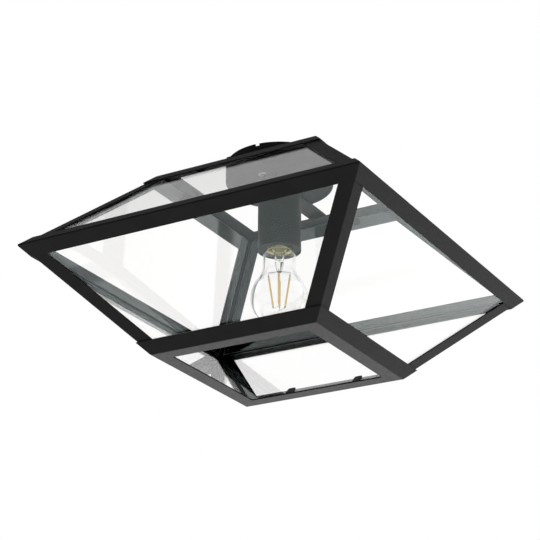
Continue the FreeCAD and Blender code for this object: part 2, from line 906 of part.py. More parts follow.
def envelope_edges(inset):
    """The bulb's outline from its lowest point up to the seal, moved inwards by inset."""
    globe = bulb_diameter / 2.0 - inset
    neck = neck_diameter / 2.0 - inset
    flare = neck_flare_radius + inset
    flare_x = neck + flare
    reach = bulb_diameter / 2.0 + neck_flare_radius
    flare_z = globe_centre + math.sqrt(reach ** 2 - flare_x ** 2)
    share = globe / reach
    meet = vector(flare_x * share, 0, globe_centre + (flare_z - globe_centre) * share)
    side_angle = math.atan2(flare_z - globe_centre, flare_x) / 2.0 - math.pi / 4.0
    side_point = around(vector(0, 0, globe_centre), globe, side_angle)
    flare_turn = (math.pi + math.atan2(flare_z - globe_centre, flare_x) + math.pi) / 2.0
    flare_point = around(vector(flare_x, 0, flare_z), flare, flare_turn)
    neck_high = cap_rim - shoulder_drop
    step = (neck_diameter - shoulder_diameter) / 2.0
    shoulder = (shoulder_drop ** 2 + step ** 2) / (2.0 * step)
    shoulder_centre = vector(neck_diameter / 2.0 - shoulder, 0, neck_high)
    sweep = math.asin(shoulder_drop / shoulder)
    shoulder_mid = around(shoulder_centre, shoulder - inset, sweep / 2.0)
    shoulder_end = around(shoulder_centre, shoulder - inset, sweep)
    seal = seal_diameter / 2.0 - inset
    lowest = vector(0, 0, globe_centre - globe)
    edges = [
        arc(lowest, side_point, meet),
        arc(meet, flare_point, vector(neck, 0, flare_z)),
        line(vector(neck, 0, flare_z), vector(neck, 0, neck_high)),
        arc(vector(neck, 0, neck_high), shoulder_mid, shoulder_end),
        line(shoulder_end, vector(seal, 0, shoulder_end.z)),
        line(vector(seal, 0, shoulder_end.z), vector(seal, 0, cap_rim + seal_length)),
    ]
    return edges


def bulb_glass():
    outer = envelope_edges(0.0)
    inner = envelope_edges(bulb_wall)
    outer_end = outer[-1].Vertexes[-1].Point
    inner_end = inner[-1].Vertexes[-1].Point
    outer_start = outer[0].Vertexes[0].Point
    inner_start = inner[0].Vertexes[0].Point
    edges = outer + [line(outer_end, inner_end)] + inner + [line(inner_start, outer_start)]
    return Part.Face(Part.Wire(Part.__sortEdges__(edges))).revolve(ORIGIN, Z_AXIS, 360)


def bulb_cap():
    radius = cap_diameter / 2.0
    thread_top = cap_rim + cap_thread_length
    insulator = insulator_diameter / 2.0
    cone_top = bulb_tip - button_height - button_gap - insulator_height
    outline = [
        (radius, cap_rim),
        (radius, thread_top),
        (insulator, cone_top),
        (insulator - cap_sheet, cone_top),
        (radius - cap_sheet, thread_top),
        (radius - cap_sheet, cap_rim),
    ]
    return revolved(outline)


def cap_insulator():
    radius = insulator_diameter / 2.0
    top = bulb_tip - button_height - button_gap
    low = top - insulator_height
    button = button_diameter / 2.0
    outline = [(0, low), (radius, low), (radius, low + insulator_rim), (button, top), (0, top)]
    return revolved(outline)


def bulb_button():
    radius = button_diameter / 2.0
    low = bulb_tip - button_height
    crown = button_height / 2.0
    shoulder = low + crown
    outline = [(0, low), (radius, low), (radius, shoulder), (radius - crown, bulb_tip), (0, bulb_tip)]
    return revolved(outline)


def stem_end():
    return cap_rim - stem_length


def bulb_stem():
    """The glass foot that carries the filaments: a flared tube, pinched solid at its end."""
    high = cap_rim + seal_length
    flare_low = cap_rim - shoulder_drop / 2.0
    neck = stem_diameter / 2.0
    foot = stem_foot_diameter / 2.0
    seal = seal_diameter / 2.0 - bulb_wall
    pinch = stem_end() + stem_diameter
    pinched = neck * stem_pinch_share
    outline = [
        (0, stem_end()),
        (pinched, stem_end()),
        (pinched + stem_wall, pinch - stem_pinch_run),
        (neck, pinch + stem_pinch_run),
        (foot, flare_low),
        (seal, high - stem_wall),
        (seal, high),
        (seal - stem_wall, high),
        (foot - stem_wall, flare_low + stem_wall),
        (neck - stem_wall, pinch + stem_pinch_run + stem_wall),
        (0, pinch + stem_pinch_run),
    ]
    return revolved(outline)


def filament_ends():
    """Top and bottom end of each filament on its leaning line."""
    rise = math.sqrt(filament_length ** 2 - (filament_top_radius - filament_bottom_radius) ** 2)
    top = cap_rim - filament_drop
    ends = []
    for index in range(filament_count):
        angle = math.radians(filament_turn + 360.0 * index / filament_count)
        outward = vector(math.cos(angle), math.sin(angle), 0)
        upper = outward * filament_top_radius + vector(0, 0, top)
        lower = outward * filament_bottom_radius + vector(0, 0, top - rise)
        ends.append((upper, lower))
    return ends


def rod(start, end, diameter):
    return Part.makeCylinder(diameter / 2.0, (end - start).Length, start, end - start)


def led_filaments():
    rods = [rod(upper, lower, filament_diameter) for upper, lower in filament_ends()]
    return Part.makeCompound(rods)


def joined_rods(points, diameter):
    shape = rod(points[0], points[1], diameter)
    for index in range(1, len(points) - 1):
        shape = shape.fuse(Part.makeSphere(diameter / 2.0, points[index]))
        shape = shape.fuse(rod(points[index], points[index + 1], diameter))
    return shape


def support_wires():
    """Four wires that leave the stem and bend down to the filaments' tops, and two lower links."""
    wires = []
    ends = filament_ends()
    root_z = stem_end() - wire_diameter / 2.0
    for upper, lower in ends:
        outward = unit(vector(upper.x, upper.y, 0))
        root = outward * wire_root_radius + vector(0, 0, root_z)
        knee = upper + unit(upper - lower) * wire_drop
        wires.append(joined_rods([root, knee, upper], wire_diameter))
    for first, second in ((0, 1), (2, 3)):
        lean_first = unit(ends[first][1] - ends[first][0])
        lean_second = unit(ends[second][1] - ends[second][0])
        start = ends[first][1] + lean_first * (wire_diameter / 2.0)
        end = ends[second][1] + lean_second * (wire_diameter / 2.0)
        wires.append(rod(start, end, wire_diameter))
    return Part.makeCompound(wires)


def save_bulb():
    save("bulb_cap", bulb_cap())
    save("cap_insulator", cap_insulator())
    save("bulb_contact_button", bulb_button())
    save("bulb_glass", bulb_glass())
    save("bulb_stem", bulb_stem())
    save("filament_support_wires", support_wires())
    save("led_filaments", led_filaments())


os.makedirs("parts", exist_ok=True)
save_cage()
save_hanging_set()
save_lampholder()
save_wiring()
save_bulb()
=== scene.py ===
import math

import bmesh
import bpy
from mathutils import Matrix, Quaternion, Vector


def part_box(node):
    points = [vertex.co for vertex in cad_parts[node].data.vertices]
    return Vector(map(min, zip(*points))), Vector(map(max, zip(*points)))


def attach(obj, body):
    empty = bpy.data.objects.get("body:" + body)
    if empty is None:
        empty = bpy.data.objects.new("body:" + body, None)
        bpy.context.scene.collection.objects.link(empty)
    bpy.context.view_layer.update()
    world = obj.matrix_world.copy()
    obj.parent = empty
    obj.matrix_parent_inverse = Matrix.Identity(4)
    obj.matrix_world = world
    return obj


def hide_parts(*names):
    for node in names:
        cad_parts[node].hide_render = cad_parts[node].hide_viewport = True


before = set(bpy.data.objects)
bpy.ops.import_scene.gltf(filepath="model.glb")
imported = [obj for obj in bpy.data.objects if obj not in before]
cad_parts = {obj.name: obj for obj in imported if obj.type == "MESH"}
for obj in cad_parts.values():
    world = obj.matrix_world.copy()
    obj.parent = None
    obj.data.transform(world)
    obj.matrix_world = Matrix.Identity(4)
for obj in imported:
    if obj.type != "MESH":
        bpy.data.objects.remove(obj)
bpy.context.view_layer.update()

# ---- Bottom ring ----
# Four rails of 1.5 mm steel sheet, each folded to a flat flange and a leaning one, mitred and
# welded at the corners. The whole cage is coated in black powder, baked on: near black, satin,
# with the fine orange peel that powder leaves.

mm = 0.001
SIDES = ("front", "right", "rear", "left")
coat_reflection = 0.17
orange_peel = 0.06 * mm


def add_node(tree, kind, **values):
    """A shader node with its inputs set by name; an underscore stands for a space."""
    made = tree.nodes.new("ShaderNode" + kind)
    for name, value in values.items():
        made.inputs[name.replace("_", " ")].default_value = value
    return made


def new_finish(name):
    """An empty finish: its material, its node tree and its surface shader."""
    material = bpy.data.materials.new(name)
    material.use_nodes = True
    return material, material.node_tree, material.node_tree.nodes["Principled BSDF"]


def object_noise(tree, scale, detail=2.0, stretch=(1.0, 1.0, 1.0)):
    """Noise fixed to the piece, so many grains per metre, drawn out along an axis by stretch."""
    place = tree.nodes.new("ShaderNodeTexCoord")
    mapping = add_node(tree, "Mapping", Scale=stretch)
    noise = add_node(tree, "TexNoise", Scale=scale, Detail=detail)
    tree.links.new(place.outputs["Object"], mapping.inputs["Vector"])
    tree.links.new(mapping.outputs["Vector"], noise.inputs["Vector"])
    return noise.outputs["Fac"]


def vary_colour(tree, shader, source, dark, light):
    """Base colour from dark to light as the noise source goes."""
    ramp = tree.nodes.new("ShaderNodeValToRGB")
    ramp.color_ramp.elements[0].position = 0.35
    ramp.color_ramp.elements[0].color = (*dark, 1.0)
    ramp.color_ramp.elements[1].position = 0.65
    ramp.color_ramp.elements[1].color = (*light, 1.0)
    tree.links.new(source, ramp.inputs["Fac"])
    tree.links.new(ramp.outputs["Color"], shader.inputs["Base Color"])


def vary_roughness(tree, shader, source, low, high):
    """Roughness from low to high as the noise source goes."""
    span = add_node(tree, "MapRange", From_Min=0.3, From_Max=0.7, To_Min=low, To_Max=high)
    tree.links.new(source, span.inputs["Value"])
    tree.links.new(span.outputs["Result"], shader.inputs["Roughness"])


def add_bump(tree, shader, source, depth, strength):
    """Fine relief of a given depth from the noise source."""
    bump = add_node(tree, "Bump", Strength=strength, Distance=depth)
    tree.links.new(source, bump.inputs["Height"])
    tree.links.new(bump.outputs["Normal"], shader.inputs["Normal"])


def powder_coat(name, dark, light, low, high, reflection=coat_reflection):
    """A baked coat, its colour a little clouded, with an orange peel."""
    material, tree, shader = new_finish(name)
    shader.inputs["Specular IOR Level"].default_value = reflection
    vary_colour(tree, shader, object_noise(tree, 45.0, 3.0), dark, light)
    vary_roughness(tree, shader, object_noise(tree, 420.0, 2.0), low, high)
    add_bump(tree, shader, object_noise(tree, 1300.0, 2.0), orange_peel, 0.35)
    return material


def dress(node, finish):
    """Gives a node of the frame its finish."""
    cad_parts[node].material_slots[0].material = finish


cage_black = powder_coat(
    "cage_black_powder", (0.0036, 0.0036, 0.0037), (0.0056, 0.0056, 0.0057), 0.44, 0.54)
for side in SIDES:
    dress("bottom_rail_" + side, cage_black)

# ---- Lower ribs ----
# Four ribs of the same sheet, folded to the corner's angle. They stand inside the bottom ring and
# the waist ring, spot welded to both, and are powder coated with them.

CORNERS = ("front_left", "front_right", "rear_left", "rear_right")
for corner in CORNERS:
    dress("lower_rib_" + corner, cage_black)

# ---- Waist ring ----
# Four rails folded to a right angle where the lower and upper faces meet, mitred at the corners,
# and coated with the rest.

for side in SIDES:
    dress("waist_rail_" + side, cage_black)

# ---- Lower panes ----
# Four trapezoids of clear 3 mm float glass, laid in the cage from inside. Their edges are ground
# with a fine arris and show the blue-green of the glass, which the faces hardly do.

glass_arris = 0.35 * mm
glass_index = 1.5
pane_reflection = (0.86, 1.0, 0.99)
edge_roughness = 0.32
merge_distance = 0.01 * mm
flat_limit = math.radians(2)


def clear_glass(name, dark, light, roughness=0.0, tint=(1.0, 1.0, 1.0), index=glass_index):
    """Glass whose colour varies a little; tint is the colour of its reflections."""
    material, tree, shader = new_finish(name)
    shader.inputs["Transmission Weight"].default_value = 1.0
    shader.inputs["IOR"].default_value = index
    shader.inputs["Roughness"].default_value = roughness
    shader.inputs["Specular Tint"].default_value = (*tint, 1.0)
    vary_colour(tree, shader, object_noise(tree, 8.0, 2.0), dark, light)
    return material


pane_face = clear_glass(
    "pane_face", (0.992, 0.994, 0.988), (0.998, 0.998, 0.994), tint=pane_reflection)
pane_edge = clear_glass("pane_ground_edge", (0.16, 0.40, 0.38), (0.30, 0.56, 0.52), edge_roughness)


def keep_sharp(mesh, limit):
    """Smooth shading, but for edges that turn by more than limit degrees."""
    mesh.faces.ensure_lookup_table()
    for face in mesh.faces:
        face.smooth = True
    for edge in mesh.edges:
        turns = len(edge.link_faces) == 2 and edge.calc_face_angle() > math.radians(limit)
        edge.smooth = not turns


def place_piece(name, mesh, finishes, slot, body, *nodes):
    """Puts a finished mesh in the scene as a piece that rides on a body and stands for nodes."""
    data = bpy.data.meshes.new(name)
    mesh.to_mesh(data)
    mesh.free()
    for finish in finishes:
        data.materials.append(finish)
    piece = bpy.data.objects.new(name, data)
    bpy.context.scene.collection.objects.link(piece)
    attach(piece, body)
    if nodes:
        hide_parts(*nodes)


def glaze(name, node):
    """A pane with ground edges, cut to the corners that the frame gives."""
    mesh = bmesh.new()
    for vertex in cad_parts[node].data.vertices:
        mesh.verts.new(vertex.co)
    bmesh.ops.remove_doubles(mesh, verts=mesh.verts, dist=merge_distance)
    bmesh.ops.convex_hull(mesh, input=mesh.verts)
    bmesh.ops.dissolve_limit(mesh, angle_limit=flat_limit, verts=mesh.verts, edges=mesh.edges)
    bmesh.ops.bevel(mesh, geom=mesh.edges[:], offset=glass_arris, segments=1, affect="EDGES")
    bmesh.ops.recalc_face_normals(mesh, faces=mesh.faces)
    largest = max(face.calc_area() for face in mesh.faces)
    for face in mesh.faces:
        face.material_index = 0 if face.calc_area() > largest / 2 else 1
    place_piece(name, mesh, (pane_face, pane_edge), "pane_glass", "lantern", node)


for side in SIDES:
    glaze("lower_glass_" + side, "lower_pane_" + side)

# ---- Clips on the bottom ring ----
# Eight small tabs of blackened spring steel, two to a side. Each has its foot on the flat flange
# and its leaf along the glass, and holds the pane against the ribs.

ring_half = 95.0 * mm
lower_rise = 104.0
lower_run = 100.0
sheet_gauge = 1.5 * mm
pane_back = 6.0 * mm
clip_gauge = 0.8 * mm
clip_half = 4.5 * mm
clip_foot = 6.0 * mm
clip_leaf = 17.5 * mm
clip_corner = 2.0 * mm
clip_spacing = 81.0 * mm
left_clip_shift = 11.0 * mm
corner_shares = (0.0, 0.35, 0.7, 0.92, 1.0)
dull_reflection = 0.05


def skin(mesh, rings, start="open", end="open"):
    """Quads from ring to ring. An end is open, closed flat, or joined to the other end."""
    rows = [[mesh.verts.new(point) for point in points] for points in rings]
    count = len(rows[0])
    pairs = list(zip(rows, rows[1:]))
    if end == "joined":
        pairs.append((rows[-1], rows[0]))
    for lower, upper in pairs:
        for index in range(count):
            after = (index + 1) % count
            mesh.faces.new((lower[index], lower[after], upper[after], upper[index]))
    if start == "flat":
        mesh.faces.new(rows[0][::-1])
    if end == "flat":
        mesh.faces.new(rows[-1])


def clip_sections(lean):
    """Along the clip: a place in the upright plane, the way its sheet faces, and its half width."""
    way = Vector((math.cos(lean), 0.0, math.sin(lean)))
    up = Vector((-math.sin(lean), 0.0, math.cos(lean)))
    bisector = (Vector((0.0, 0.0, 1.0)) + up).normalized() / math.cos(lean / 2)
    sections = [
        (Vector((-clip_foot, 0.0, 0.0)), Vector((0.0, 0.0, 1.0)), clip_half),
        (Vector((0.0, 0.0, 0.0)), bisector, clip_half),
    ]
    for share in corner_shares:
        reach = clip_corner * share
        half = clip_half - clip_corner + math.sqrt(clip_corner ** 2 - reach ** 2)
        sections.append((way * (clip_leaf - clip_corner + reach), up, half))
    return sections


def add_clip(mesh, turn, shift, height):
    """One clip: its foot on the flange, its leaf up the inner face of the glass."""
    lean = math.atan2(lower_rise, lower_run)
    start = ring_half + sheet_gauge / math.tan(lean) - pane_back / math.sin(lean)
    rings = []
    for place, up, half in clip_sections(lean):
        ring_points = []
        for side, level in ((-half, 0.0), (half, 0.0), (half, clip_gauge), (-half, clip_gauge)):
            point = place + up * level + Vector((start, side + shift, height))
            ring_points.append(turn @ point)
        rings.append(ring_points)
    skin(mesh, rings, "flat", "flat")


clip_black = powder_coat(
    "clip_blackened_steel", (0.0035, 0.0035, 0.004), (0.006, 0.006, 0.0065), 0.35, 0.5, dull_reflection)
clips = bmesh.new()
foot_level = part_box("bottom_glass_clips")[0].z
for quarter in range(4):
    turn = Matrix.Rotation(math.radians(90 * quarter), 3, "Z")
    for sign in (-1, 1):
        shift = sign * clip_spacing / 2
        if quarter == 2:
            shift -= left_clip_shift
        add_clip(clips, turn, shift, foot_level)
bmesh.ops.recalc_face_normals(clips, faces=clips.faces)
place_piece("bottom_clip_set", clips, (clip_black,), "black_steel", "lantern", "bottom_glass_clips")

# ---- Upper ribs ----
# Four shorter ribs of the same steel sheet, from the waist ring up to the top ring. They are
# folded to the corner's angle, welded and coated as the lower ones are.

for corner in CORNERS:
    dress("upper_rib_" + corner, cage_black)

# ---- Top ring ----
# Four rails like those of the bottom ring, turned over, with a wider flat flange that the
# crossbar lies on.

for side in SIDES:
    dress("top_rail_" + side, cage_black)

# ---- Upper panes and their clips ----
# Four trapezoids of the same float glass over the upper faces, with ground edges. Eight tabs of
# blackened spring steel hold them under the top ring.

for side in SIDES:
    glaze("upper_glass_" + side, "upper_pane_" + side)
dress("top_glass_clips", clip_black)

# ---- Crossbar ----
# A strap of 2 mm steel across the top opening, set down at both ends onto the ring and coated
# with the cage. The nipple and both carrier screws go through it.

dress("crossbar", cage_black)

# ---- Canopy ----
# A drawn cup of 1 mm steel that closes the ceiling box, with a small notch in its rim. Its coat
# is a shade flatter than the cage's.

canopy_black = powder_coat(
    "canopy_black_powder", (0.0045, 0.0045, 0.0048), (0.0065, 0.0065, 0.0068), 0.5, 0.6)
dress("canopy", canopy_black)

# ---- Ceiling bracket ----
# A flat zinc-plated bar with two slots for the ceiling screws, a cable hole in the middle and two
# tapped collars. The plating is bright, a little blue, and clouded where it dried.


def plated_metal(name, dark, light, low, high):
    """Bare or plated metal with a fine grain drawn out one way."""
    material, tree, shader = new_finish(name)
    shader.inputs["Metallic"].default_value = 1.0
    vary_colour(tree, shader, object_noise(tree, 70.0, 3.0), dark, light)
    vary_roughness(tree, shader, object_noise(tree, 260.0, 4.0, (1.0, 0.12, 1.0)), low, high)
    add_bump(tree, shader, object_noise(tree, 2200.0, 2.0), 0.02 * mm, 0.25)
    return material


zinc = plated_metal("zinc_plated_steel", (0.48, 0.50, 0.52), (0.66, 0.68, 0.70), 0.22, 0.42)
dress("ceiling_bracket", zinc)

# ---- Carrier screws and earth screw ----
# Pan-head M4 screws of zinc-plated steel with crossed recesses. Two long ones go up through
# crossbar and canopy into the bracket's collars and carry the lantern; the short one earths it.

M4_pitch = 0.7 * mm
M4_radius = 2.0 * mm
thread_depth_share = 0.61
thread_start = 0.1 * mm
thread_steps = 8
turn_points = 32
screw_head = 3.9 * mm
screw_point = 0.3 * mm
pan_profile = ((0.55, 1.0), (0.78, 0.93), (0.92, 0.76), (1.0, 0.45), (1.0, 0.0))
recess_width = 0.9 * mm
recess_length = 3.8 * mm
recess_share = 0.6
recess_flare = 1.25
recess_taper = 0.6
screw_tip_share = 0.8
thread_crease = 35


def ring(radius, height, points=turn_points, centre=(0.0, 0.0)):
    """A ring of points; the radius is a number, or one number for each point."""
    made = []
    for index in range(points):
        angle = 2 * math.pi * index / points
        reach = radius[index] if isinstance(radius, list) else radius
        x = centre[0] + reach * math.cos(angle)
        y = centre[1] + reach * math.sin(angle)
        made.append(Vector((x, y, height)))
    return made


def thread(low, high, pitch, crest, root, form, points=turn_points, centre=(0.0, 0.0)):
    """Rings up a right-hand thread that runs out at both ends. form gives its height, 0 to 1."""
    count = round((high - low) / pitch * thread_steps)
    rings = []
    for step in range(count + 1):
        height = low + (high - low) * step / count
        fade = min(1.0, (height - low) / pitch, (high - height) / pitch)
        radii = []
        for index in range(points):
            share = form((height / pitch - index / points) % 1.0)
            radii.append(crest - (crest - root) * (1.0 - share * fade))
        rings.append(ring(radii, height, points, centre))
    return rings


def vee(phase):
    """A sharp thread: 1 at its crest, 0 at its root."""
    return abs(2.0 * phase - 1.0)


def cross_cutter(place, low, depth, width, length):
    """Two crossed wedges that narrow upwards, as the driver's tip does."""
    mesh = bmesh.new()
    for half_x, half_y in ((length / 2, width / 2), (width / 2, length / 2)):
        ends = []
        for height, share in ((low - depth, recess_flare), (low + depth, recess_taper)):
            corners = []
            for x, y in ((-1, -1), (1, -1), (1, 1), (-1, 1)):
                offset = Vector((x * half_x * share, y * half_y * share, height))
                corners.append(offset + Vector((place[0], place[1], 0.0)))
            ends.append(corners)
        skin(mesh, ends, "flat", "flat")
    return mesh


def cut_away(mesh, cutter):
    """The mesh less the cutter, as a new mesh."""
    objects = []
    for name, source in (("work", mesh), ("tool", cutter)):
        data = bpy.data.meshes.new(name)
        bmesh.ops.recalc_face_normals(source, faces=source.faces)
        source.to_mesh(data)
        source.free()
        made = bpy.data.objects.new(name, data)
        bpy.context.scene.collection.objects.link(made)
        objects.append(made)
    work, tool = objects
    cut = work.modifiers.new("cut", "BOOLEAN")
    cut.operation = "DIFFERENCE"
    cut.solver = "EXACT"
    cut.use_self = True
    cut.object = tool
    bpy.context.view_layer.update()
    result = bmesh.new()
    result.from_mesh(work.evaluated_get(bpy.context.evaluated_depsgraph_get()).to_mesh())
    for made in objects:
        data = made.data
        bpy.data.objects.remove(made)
        bpy.data.meshes.remove(data)
    return result


def machine_screw(place, low, seat, high, head, shank):
    """A pan head below its seat, its edge rounded, and a threaded shank above it."""
    mesh = bmesh.new()
    height = seat - low
    root = shank - thread_depth_share * M4_pitch
    rings = []
    for share, drop in pan_profile:
        rings.append(ring(head * share, seat - height * drop, turn_points, place))
    rings.append(ring(root, seat, turn_points, place))
    start = seat + thread_start
    rings += thread(start, high - screw_point, M4_pitch, shank, root, vee, turn_points, place)
    rings.append(ring(root * screw_tip_share, high, turn_points, place))
    skin(mesh, rings, "flat", "flat")
    recess = cross_cutter(place, low, height * recess_share, recess_width, recess_length)
    return cut_away(mesh, recess)


def join_in(mesh, one):
    """Adds one mesh to another and frees it."""
    data = bpy.data.meshes.new("one")
    one.to_mesh(data)
    one.free()
    mesh.from_mesh(data)
    bpy.data.meshes.remove(data)


def screw_piece(name, node, places, seat):
    """Pan-head screws at their places, as high as the node that they stand for."""
    low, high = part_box(node)
    mesh = bmesh.new()
    for place in places:
        join_in(mesh, machine_screw(place, low.z, seat, high.z, screw_head, M4_radius))
    keep_sharp(mesh, thread_crease)
    place_piece(name, mesh, (zinc,), "zinc_steel", "lantern", node)


carrier_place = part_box("carrier_screws")[1].y - screw_head
carrier_places = ((0.0, -carrier_place), (0.0, carrier_place))
crossbar_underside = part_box("lampholder_sleeve")[1].z
screw_piece("carrier_screw_pair", "carrier_screws", carrier_places, crossbar_underside)
earth_low, earth_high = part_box("earth_screw")
earth_place = (0.0, (earth_low.y + earth_high.y) / 2)
earth_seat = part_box("earth_ring_terminal")[0].z
screw_piece("earth_screw_short", "earth_screw", (earth_place,), earth_seat)

# ---- Earth ring terminal ----
# A ring stamped from tinned copper sheet, its barrel crimped on the earth lead. The earth screw
# holds it under the bracket.

tinned = plated_metal("tinned_copper", (0.55, 0.52, 0.47), (0.70, 0.66, 0.60), 0.25, 0.4)
dress("earth_ring_terminal", tinned)

# ---- Nipple and its nuts ----
# An M10 x 1 tube threaded over its whole length. It goes through lampholder, sleeve, crossbar and
# canopy, two thin nuts pull them together, and the leads pass up through its bore.

M10_pitch = 1.0 * mm
nipple_low, nipple_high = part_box("threaded_nipple")
nipple_radius = nipple_high.x
nipple_bore = 3.8 * mm
nipple_chamfer = 0.3 * mm
nipple_thread_end = 0.2 * mm
nipple_end_share = 0.97
tube_points = 48
nipple = bmesh.new()
nipple_root = nipple_radius - thread_depth_share * M10_pitch
rings = [ring(nipple_root, nipple_low.z, tube_points)]
threaded = (nipple_low.z + thread_start, nipple_high.z - nipple_thread_end, M10_pitch)
rings += thread(*threaded, nipple_radius, nipple_root, vee, tube_points)
rings.append(ring(nipple_root * nipple_end_share, nipple_high.z, tube_points))
rings.append(ring(nipple_bore + nipple_chamfer, nipple_high.z, tube_points))
rings.append(ring(nipple_bore, nipple_high.z - nipple_chamfer, tube_points))
rings.append(ring(nipple_bore, nipple_low.z, tube_points))
skin(nipple, rings, end="joined")
keep_sharp(nipple, thread_crease)
place_piece("nipple_tube", nipple, (zinc,), "zinc_steel", "lantern", "threaded_nipple")
nut_across = 14.0 * mm
nut_height = 3.0 * mm
nut_points = 72
nut_face_share = 0.97
nut_chamfer = math.radians(30)
nut_crease = 20


def hex_nut(mesh, low, high, across, bore):
    """A thin hexagon nut, its corners turned off at the chamfer's angle on both faces."""
    inner = across / 2.0
    flats = []
    for index in range(nut_points):
        angle = 2 * math.pi * index / nut_points
        from_flat = (angle % (math.pi / 3.0)) - math.pi / 6.0
        flats.append(inner / math.cos(from_flat))
    face = inner * nut_face_share
    chamfer = [(reach - face) * math.tan(nut_chamfer) for reach in flats]
    rings = [ring(bore, low, nut_points), ring(face, low, nut_points)]
    for level, sign in ((low, 1), (high, -1)):
        points = ring(flats, level, nut_points)
        for point, rise in zip(points, chamfer):
            point.z += sign * rise
        rings.append(points)
    rings += [ring(face, high, nut_points), ring(bore, high, nut_points)]
    skin(mesh, rings, end="joined")


nuts_low, nuts_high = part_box("nipple_nuts")
nuts = bmesh.new()
hex_nut(nuts, nuts_high.z - nut_height, nuts_high.z, nut_across, nipple_radius)
hex_nut(nuts, nuts_low.z, nuts_low.z + nut_height, nut_across, nipple_radius)
keep_sharp(nuts, nut_crease)
place_piece("nipple_nut_pair", nuts, (zinc,), "zinc_steel", "lantern", "nipple_nuts")

# ---- Sleeve ----
# A drawn steel tube, closed at the top but for the nipple's hole, that hides the lampholder. It
# is coated black inside and out.

dress("lampholder_sleeve", cage_black)

# ---- Lampholder ----
# Two mouldings of black phenolic: the body with its socket, and the dome with the threaded neck.
# The resin is a dull black, with the fine cloudiness of its filler.

plain_reflection = 0.5


def moulded(name, dark, light, low, high, reflection=plain_reflection):
    """A moulded or cast piece, its colour clouded by its filler."""
    material, tree, shader = new_finish(name)
    shader.inputs["Specular IOR Level"].default_value = reflection
    vary_colour(tree, shader, object_noise(tree, 160.0, 4.0), dark, light)
    vary_roughness(tree, shader, object_noise(tree, 90.0, 3.0), low, high)
    add_bump(tree, shader, object_noise(tree, 900.0, 3.0), 0.03 * mm, 0.2)
    return material


phenolic = moulded(
    "black_phenolic", (0.004, 0.004, 0.0038), (0.008, 0.0076, 0.007), 0.3, 0.42, dull_reflection)
dress("lampholder_body", phenolic)
dress("lampholder_dome", phenolic)

# ---- Screw shell and centre contact ----
# Brass pressed from sheet: the shell with the rounded thread that takes the bulb's cap, and the
# sprung leaf that meets its tip.

screw_pitch = 25.4 * mm / 7
screw_depth = 1.0 * mm
shell_gauge = 0.4 * mm
shell_plain = 0.6 * mm
shell_points = 96
rolled_crease = 50


def rounded(phase):
    """A rolled thread: 1 at its crest, 0 at its root."""
    return 0.5 + 0.5 * math.cos(2 * math.pi * phase)


def inner_wall(outer, gauge):
    """The rings of a sheet's inside, back down the outer rings and nearer the axis by its gauge."""
    inner = []
    for points in reversed(outer):
        moved = []
        for point in points:
            share = 1 - gauge / math.hypot(point.x, point.y)
            moved.append(Vector((point.x, point.y, 0)) * share + Vector((0, 0, point.z)))
        inner.append(moved)
    return inner


brass = plated_metal("brass", (0.66, 0.46, 0.17), (0.80, 0.60, 0.27), 0.2, 0.36)
shell_low, shell_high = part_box("screw_shell")
shell_outer = shell_high.x
shell_root = shell_outer - screw_depth
shell = bmesh.new()
threaded = (shell_low.z + shell_plain, shell_high.z - shell_plain, screw_pitch)
outer = [ring(shell_root, shell_low.z, shell_points)]
outer += thread(*threaded, shell_outer, shell_root, rounded, shell_points)
outer.append(ring(shell_root, shell_high.z, shell_points))
skin(shell, outer + inner_wall(outer, shell_gauge), end="joined")
keep_sharp(shell, rolled_crease)
place_piece("threaded_shell", shell, (brass,), "brass", "lantern", "screw_shell")
dress("centre_contact", brass)

# ---- Lampholder terminals ----
# Two drilled blocks of brass on the socket's floor. A zinc-plated cheese-head screw in the flank of
# each grips its lead.

dress("lampholder_terminals", brass)
dress("lampholder_terminal_screws", zinc)

# ---- Terminal block ----
# Three poles moulded in white nylon, a little milky at its edges, with brass screws down their
# towers. It stands on the canopy's floor.

nylon = moulded("white_nylon", (0.72, 0.71, 0.67), (0.80, 0.79, 0.75), 0.38, 0.5)
nylon_shader = nylon.node_tree.nodes["Principled BSDF"]
nylon_shader.inputs["Subsurface Weight"].default_value = 0.35
nylon_shader.inputs["Subsurface Radius"].default_value = (1.6 * mm, 1.4 * mm, 1.2 * mm)
nylon_shader.inputs["Subsurface Scale"].default_value = 1.0
dress("terminal_block", nylon)
dress("terminal_block_screws", brass)

# ---- Leads ----
# Three single leads in PVC: brown for live and blue for neutral, from the lampholder up through
# the nipple to the block, and green with a yellow stripe for earth, from the block up to the ring.

lead_radius = 1.1 * mm
lead_roughness = (0.3, 0.42)
stripe_share = 0.6


def insulation(name, dark, light):
    """PVC of one colour, a little clouded."""
    material, tree, shader = new_finish(name)
    vary_colour(tree, shader, object_noise(tree, 300.0, 2.0), dark, light)
    vary_roughness(tree, shader, object_noise(tree, 120.0, 3.0), *lead_roughness)
    add_bump(tree, shader, object_noise(tree, 1800.0, 2.0), 0.02 * mm, 0.2)
    return material


def striped_insulation(name, ground, stripe):
    """Two colours side by side along the lead, from the share of the way round it."""
    material, tree, shader = new_finish(name)
    place = tree.nodes.new("ShaderNodeTexCoord")
    parts = tree.nodes.new("ShaderNodeSeparateXYZ")
    ramp = tree.nodes.new("ShaderNodeValToRGB")
    ramp.color_ramp.interpolation = "CONSTANT"
    ramp.color_ramp.elements[0].color = (*ground, 1.0)
    ramp.color_ramp.elements[1].position = stripe_share
    ramp.color_ramp.elements[1].color = (*stripe, 1.0)
    tree.links.new(place.outputs["UV"], parts.inputs["Vector"])
    tree.links.new(parts.outputs["Y"], ramp.inputs["Fac"])
    tree.links.new(ramp.outputs["Color"], shader.inputs["Base Color"])
    vary_roughness(tree, shader, object_noise(tree, 120.0, 3.0), *lead_roughness)
    return material


